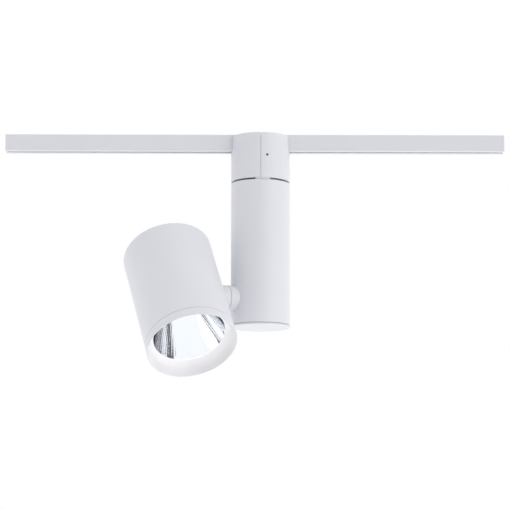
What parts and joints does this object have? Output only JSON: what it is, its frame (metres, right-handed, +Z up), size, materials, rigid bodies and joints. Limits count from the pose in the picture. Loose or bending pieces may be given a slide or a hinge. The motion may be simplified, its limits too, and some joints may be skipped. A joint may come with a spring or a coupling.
{
  "type": "track spotlight",
  "caption": "White spotlight on a length of mini track: cylindrical adapter and driver column, and a cylindrical lamp head that slides, turns and tilts, with a faceted reflector.",
  "frame": {"origin": "centre line of the track's top face, above the axis that the lamp turns about", "axes": "+Z up to the ceiling, +X along the track, -Y towards the side that the lamp head points to"},
  "size_m": [0.553, 0.1562, 0.2732],
  "materials": {
    "white_powder_coat": "satin powder coat",
    "white_plastic": "moulded, satin",
    "black_plastic": "moulded, matte",
    "grey_plastic": "moulded, matte",
    "plain_aluminium": "turned or extruded, uncoated",
    "zinc_steel": "bright zinc plated",
    "dark_steel": "black oxide",
    "copper": "drawn, bare",
    "circuit_board": "solder mask over glass laminate",
    "board_ceramic": "white, matte",
    "phosphor": "lit phosphor under clear silicone",
    "reflector_mirror": "vapour-coated facets",
    "transformer_tape": "polyester tape over a wound core",
    "capacitor_sleeve": "shrunk sleeve",
    "terminal_plastic": "moulded",
    "lead_insulation": "extruded"
  },
  "bodies": {
    "track": {"track_profile": "white_powder_coat", "track_liner": "black_plastic", "live_conductor": "copper", "neutral_conductor": "copper"},
    "adapter": {"adapter_shell_left": "white_powder_coat", "adapter_shell_right": "white_powder_coat", "seam_key": "white_powder_coat", "adapter_base": "plain_aluminium", "base_screws": "zinc_steel", "contact_carrier": "black_plastic", "contact_springs": "copper", "clamp_bolts": "zinc_steel", "clamp_nuts": "zinc_steel", "set_screw": "dark_steel", "pan_tube": "zinc_steel", "pan_upper_nut": "zinc_steel", "pan_lower_nut": "zinc_steel", "pan_spring_washer": "zinc_steel", "pan_thrust_washer": "zinc_steel", "pan_stop_pin": "dark_steel", "supply_leads": "lead_insulation"},
    "column": {"column_tube": "white_powder_coat", "column_top_plate": "plain_aluminium", "friction_disc": "grey_plastic", "end_cap": "white_powder_coat", "driver_case": "grey_plastic", "driver_lid": "grey_plastic", "driver_board": "circuit_board", "driver_transformer": "transformer_tape", "driver_capacitors": "capacitor_sleeve", "driver_terminals": "terminal_plastic", "driver_bracket": "zinc_steel", "bracket_screws": "zinc_steel", "driver_screws": "zinc_steel", "driver_input_leads": "lead_insulation", "driver_output_leads": "lead_insulation", "column_hub": "white_powder_coat", "hinge_bracket": "zinc_steel", "hub_screws": "zinc_steel", "tilt_stop_pin": "dark_steel"},
    "head": {"hinge_axle": "zinc_steel", "hinge_inner_nut": "zinc_steel", "hinge_outer_nut": "zinc_steel", "hinge_spring_washer": "zinc_steel", "hinge_friction_washer": "grey_plastic", "head_housing": "white_powder_coat", "heat_sink": "plain_aluminium", "sink_screws": "zinc_steel", "led_board": "board_ceramic", "led_emitter": "phosphor", "led_holder": "white_plastic", "holder_screws": "zinc_steel", "led_leads": "lead_insulation", "reflector": "reflector_mirror", "reflector_carrier": "white_plastic", "front_ring": "white_powder_coat"}
  },
  "joints": [
    {"name": "track_slide", "type": "slide", "parent": "track", "child": "adapter", "axis": [1, 0, 0], "range_m": [-0.25, 0.2378]},
    {"name": "pan", "type": "hinge", "parent": "adapter", "child": "column", "pos_m": [0, 0, -0.0538], "axis": [0, 0, 1], "range_deg": [-197.14, 152.86]},
    {"name": "tilt", "type": "hinge", "parent": "column", "child": "head", "pos_m": [-0.08889, -0.03617, -0.1842], "axis": [-0.9263, -0.3769, 0], "range_deg": [-36.32, 53.68]}
  ]
}
